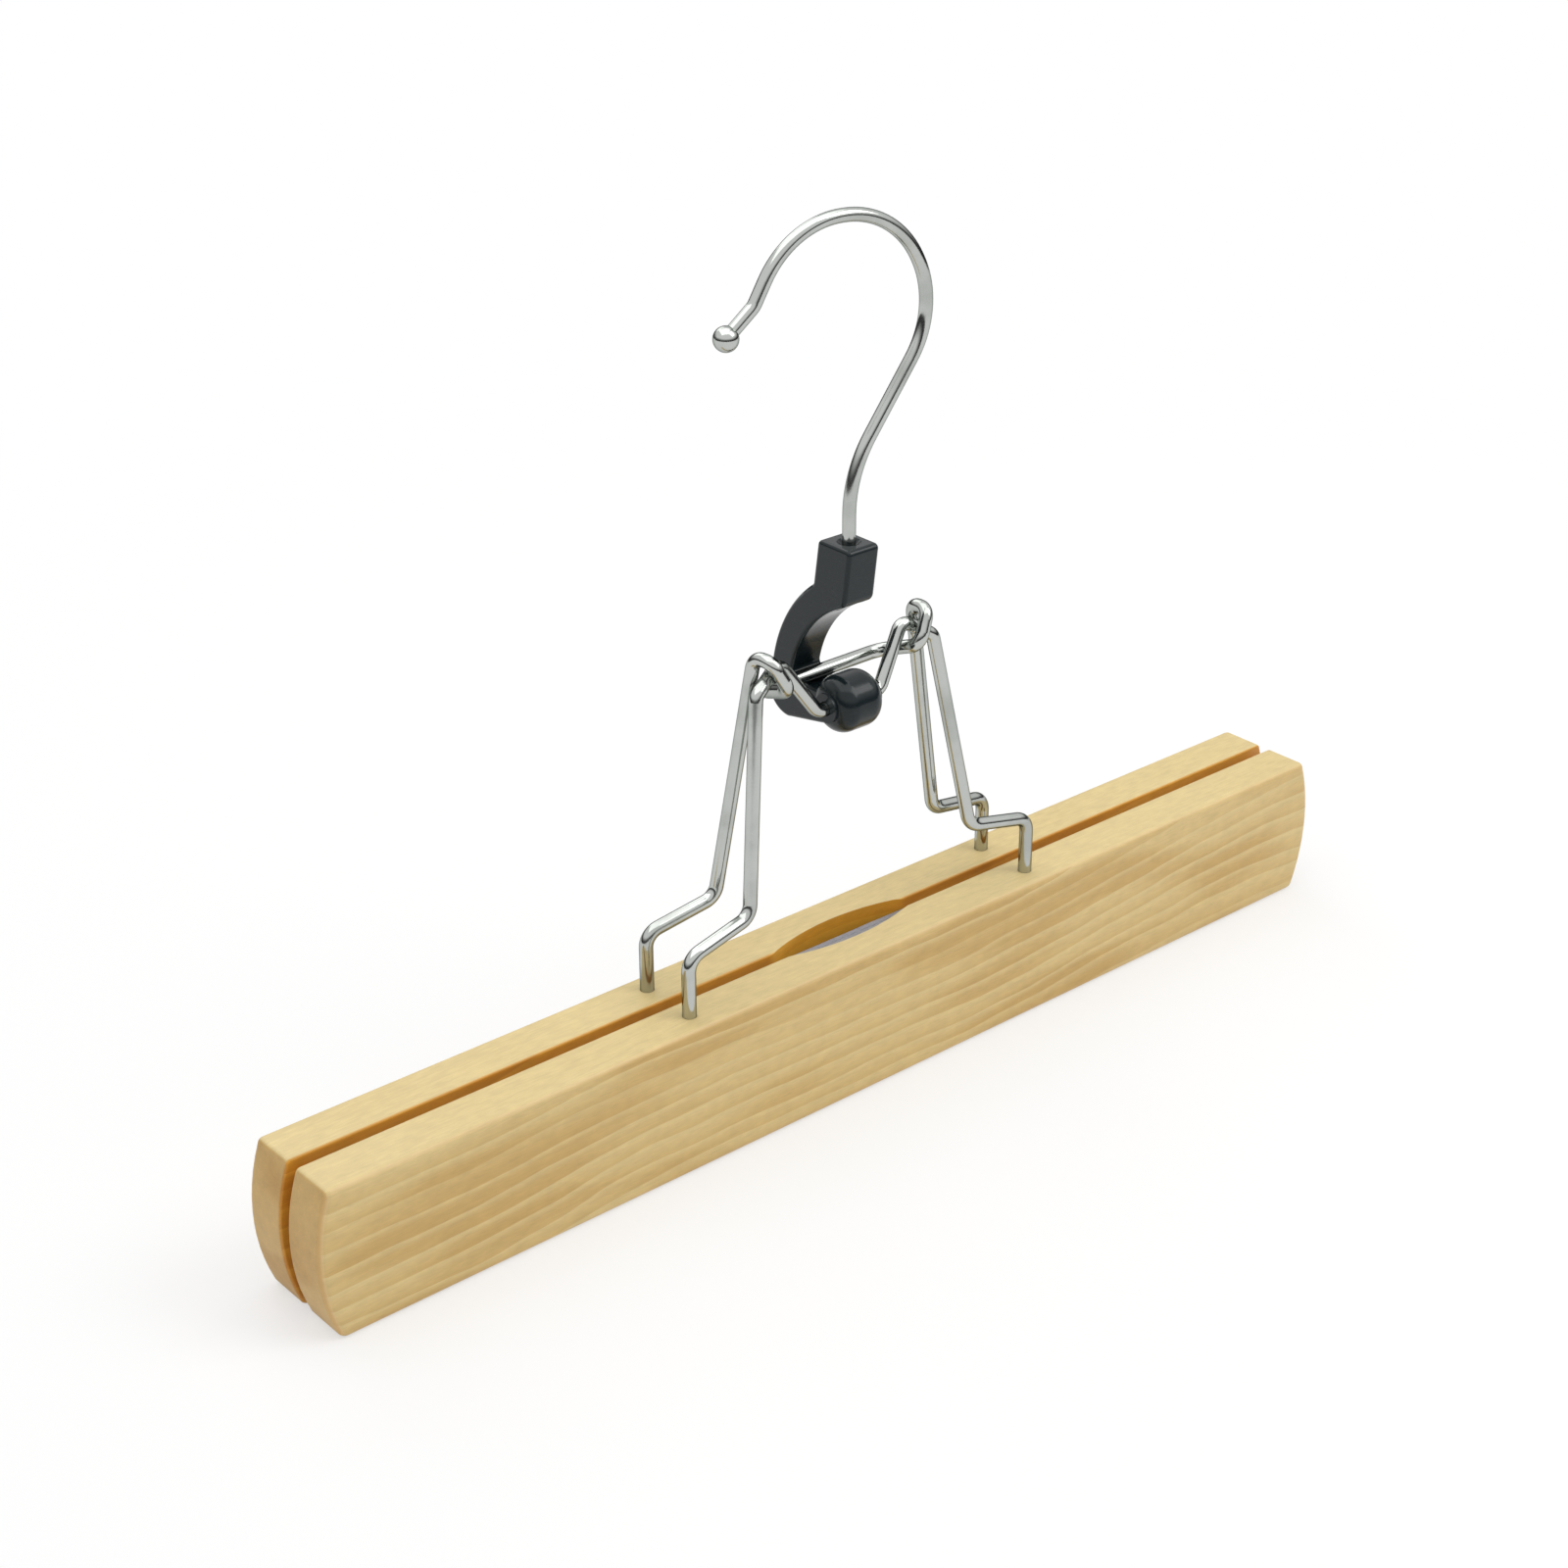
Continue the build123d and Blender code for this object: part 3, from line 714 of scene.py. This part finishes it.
def soft_box(name, place, aim, size, power):
    """A square area light that looks at a point."""
    lamp = bpy.data.lights.new(name, "AREA")
    lamp.shape = "SQUARE"
    lamp.size = size
    lamp.energy = power
    box = bpy.data.objects.new(name, lamp)
    bpy.context.scene.collection.objects.link(box)
    box.location = place
    box.rotation_mode = "QUATERNION"
    box.rotation_quaternion = (Vector(aim) - Vector(place)).to_track_quat("-Z", "Y")


def studio_world(settings):
    """Even light for the object, and plain white for the camera and for what metal mirrors."""
    world = bpy.data.worlds.new("Studio")
    world.use_nodes = True
    tree = world.node_tree
    tree.nodes.clear()
    path = add(tree, "ShaderNodeLightPath")
    seen = sums(tree, "MAXIMUM", path.outputs["Is Camera Ray"], path.outputs["Is Glossy Ray"])
    seen = sums(tree, "MAXIMUM", seen, path.outputs["Is Transmission Ray"])
    light = add(tree, "ShaderNodeBackground")
    feed(tree, light.inputs["Color"], (1.0, 1.0, 1.0))
    tree.links.new(between(tree, seen, 0.0, 1.0, settings.sky, 1.0), light.inputs["Strength"])
    output = add(tree, "ShaderNodeOutputWorld")
    tree.links.new(light.outputs[0], output.inputs["Surface"])
    bpy.context.scene.world = world


def floor_material(settings):
    """Pale floor that takes the shadow near the object and turns into the white background further out."""
    material, tree, shader = make_material("pale_floor")
    place = add(tree, "ShaderNodeTexCoord").outputs["Object"]
    reach = add(tree, "ShaderNodeVectorMath", operation="LENGTH")
    feed(tree, reach.inputs[0], place)
    feed(tree, shader.inputs["Base Color"], tuple(settings.floor))
    shader.inputs["Roughness"].default_value = 0.9
    shader.inputs["Specular IOR Level"].default_value = 0.0
    white = add(tree, "ShaderNodeEmission")
    white.inputs["Strength"].default_value = 1.0
    path = add(tree, "ShaderNodeLightPath")
    seen = sums(tree, "MAXIMUM", path.outputs["Is Camera Ray"], path.outputs["Is Glossy Ray"])
    away = between(tree, reach.outputs["Value"], settings.shadow_reach, settings.white_from,
                   0.55, 1.0, smooth=True)
    mix = add(tree, "ShaderNodeMixShader")
    tree.links.new(sums(tree, "MULTIPLY", seen, away), mix.inputs[0])
    tree.links.new(shader.outputs["BSDF"], mix.inputs[1])
    tree.links.new(white.outputs[0], mix.inputs[2])
    output = next(n for n in tree.nodes if n.type == "OUTPUT_MATERIAL")
    tree.links.new(mix.outputs[0], output.inputs["Surface"])
    return material


def disc(name, radius, height, sides):
    """A flat round floor."""
    mesh = bpy.data.meshes.new(name)
    shape = bmesh.new()
    bmesh.ops.create_circle(shape, cap_ends=True, segments=sides, radius=radius,
                            matrix=Matrix.Translation((0, 0, height)))
    shape.to_mesh(mesh)
    shape.free()
    piece = bpy.data.objects.new(name, mesh)
    bpy.context.scene.collection.objects.link(piece)
    return piece


def dark_card(name, radius, dark_top, high, shade, steps=72):
    """A round dark card about the set that fades out upwards. Only mirrors see it, as dark lines in metal."""
    mesh = bpy.data.meshes.new(name)
    shape = bmesh.new()
    foot, head = [], []
    for k in range(steps):
        angle = 2 * math.pi * k / steps
        across, along = radius * math.sin(angle), -radius * math.cos(angle)
        foot.append(shape.verts.new((across, along, 0)))
        head.append(shape.verts.new((across, along, high)))
    for k in range(steps):
        after = (k + 1) % steps
        shape.faces.new((foot[k], foot[after], head[after], head[k]))
    shape.to_mesh(mesh)
    shape.free()
    card = bpy.data.objects.new(name, mesh)
    bpy.context.scene.collection.objects.link(card)
    material = bpy.data.materials.new(name)
    material.use_nodes = True
    tree = material.node_tree
    tree.nodes.clear()
    place = add(tree, "ShaderNodeSeparateXYZ")
    feed(tree, place.inputs[0], add(tree, "ShaderNodeTexCoord").outputs["Object"])
    glow = add(tree, "ShaderNodeEmission")
    level = between(tree, place.outputs[2], dark_top, high, shade, 1.0, smooth=True)
    tree.links.new(level, glow.inputs["Strength"])
    output = add(tree, "ShaderNodeOutputMaterial")
    tree.links.new(glow.outputs[0], output.inputs["Surface"])
    dress(card, material)
    card.visible_camera = False
    card.visible_diffuse = False
    card.visible_shadow = False


# Operators

class HANGER_OT_finish_bars(bpy.types.Operator):
    """Gives both wooden bars their grain and lacquer"""

    bl_idname = "hanger.finish_bars"
    bl_label = "Finish the bars"

    def execute(self, context):
        settings = context.scene.hanger_bars
        for name, shift in BARS.items():
            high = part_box(name)[1]
            inner_side = 1.0 if high[1] < 0 else -1.0
            wood = lacquered_wood(name + "_wood", settings, inner_side, shift)
            dress(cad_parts[name], wood)
        return {"FINISHED"}


class HANGER_OT_finish_wires(bpy.types.Operator):
    """Plates both wire frames and the hook, and finishes the hook's washer"""

    bl_idname = "hanger.finish_wires"
    bl_label = "Finish the wires and the hook"

    def execute(self, context):
        settings = context.scene.hanger_wires
        for name, shift in WIRES.items():
            dress(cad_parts[name], chrome_plate(name + "_chrome", settings, shift))
        dress(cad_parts["hook_washer"], bare_steel("washer_steel", settings))
        return {"FINISHED"}


class HANGER_OT_finish_lever(bpy.types.Operator):
    """Gives the lock lever its moulded skin"""

    bl_idname = "hanger.finish_lever"
    bl_label = "Finish the lock lever"

    def execute(self, context):
        dress(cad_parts["lock_lever"], moulded_plastic("lever_plastic", context.scene.hanger_lever))
        return {"FINISHED"}


class HANGER_OT_make_felts(bpy.types.Operator):
    """Cuts the two felt strips and their loose edge fibres"""

    bl_idname = "hanger.make_felts"
    bl_label = "Make the felts"

    def execute(self, context):
        settings = context.scene.hanger_felts
        felt = wool_felt("grey_felt", settings)
        tree = fibre_tree(felt)
        for seed, side in enumerate(("front", "rear")):
            low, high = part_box(side + "_felt")
            strip = felt_strip(side + "_felt_strip", low, high, settings, 17.0 * seed)
            fuzz = loose_fibres(side + "_felt_fibres", strip, settings, tree, seed)
            for piece in (strip, fuzz):
                dress(piece, felt)
                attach(piece, side + "_jaw")
            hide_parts(side + "_felt")
        return {"FINISHED"}


class HANGER_OT_set_stage(bpy.types.Operator):
    """Sets the floor, the lights, the dark card and the camera"""

    bl_idname = "hanger.set_stage"
    bl_label = "Set the stage"

    def execute(self, context):
        settings = context.scene.hanger_stage
        scene = context.scene
        scene.view_settings.view_transform = "Standard"
        floor = disc("floor", settings.floor_radius, -0.2 * MM, 96)
        dress(floor, floor_material(settings))
        studio_world(settings)
        for light in ("key", "overhead", "rim"):
            place, size = (getattr(settings, light + part) for part in ("_place", "_size"))
            soft_box(light + "_light", place, settings.lamp_aim, size, getattr(settings, light))
        dark_card("horizon_card", settings.card_radius, settings.card_dark_top,
                  settings.card_height, settings.card_shade)

        lens = bpy.data.cameras.new("camera")
        lens.sensor_width = 36.0
        lens.lens = settings.camera_lens
        lens.clip_start = 0.01
        camera = bpy.data.objects.new("camera", lens)
        scene.collection.objects.link(camera)
        camera.location = settings.camera_place
        sight = Vector(settings.camera_aim) - Vector(settings.camera_place)
        camera.rotation_mode = "QUATERNION"
        level = sight.to_track_quat("-Z", "Y")
        camera.rotation_quaternion = level @ Quaternion((0, 0, 1), settings.camera_roll)
        scene.camera = camera
        return {"FINISHED"}


class HANGER_PT_sidebar(bpy.types.Panel):
    """The hanger's settings and steps"""

    bl_idname = "HANGER_PT_sidebar"
    bl_label = "Skirt hanger"
    bl_space_type = "VIEW_3D"
    bl_region_type = "UI"
    bl_category = "Hanger"

    def draw(self, context):
        for operator, group in STEPS:
            box = self.layout.box()
            box.operator(operator.bl_idname)
            settings = getattr(context.scene, group)
            for name in settings.bl_rna.properties.keys():
                if name not in ("rna_type", "name"):
                    box.prop(settings, name)


STEPS = (
    (HANGER_OT_finish_bars, "hanger_bars"),
    (HANGER_OT_finish_wires, "hanger_wires"),
    (HANGER_OT_finish_lever, "hanger_lever"),
    (HANGER_OT_make_felts, "hanger_felts"),
    (HANGER_OT_set_stage, "hanger_stage"),
)
GROUPS = {
    "hanger_bars": BarSettings,
    "hanger_wires": WireSettings,
    "hanger_lever": LeverSettings,
    "hanger_felts": FeltSettings,
    "hanger_stage": StageSettings,
}


def register():
    for name, group in GROUPS.items():
        bpy.utils.register_class(group)
        setattr(bpy.types.Scene, name, bpy.props.PointerProperty(type=group))
    for operator, group in STEPS:
        bpy.utils.register_class(operator)
    bpy.utils.register_class(HANGER_PT_sidebar)


def unregister():
    bpy.utils.unregister_class(HANGER_PT_sidebar)
    for operator, group in reversed(STEPS):
        bpy.utils.unregister_class(operator)
    for name, group in GROUPS.items():
        delattr(bpy.types.Scene, name)
        bpy.utils.unregister_class(group)


def main():
    register()
    bpy.ops.hanger.finish_bars()
    bpy.ops.hanger.finish_wires()
    bpy.ops.hanger.finish_lever()
    bpy.ops.hanger.make_felts()
    bpy.ops.hanger.set_stage()


if __name__ == "__main__":
    main()
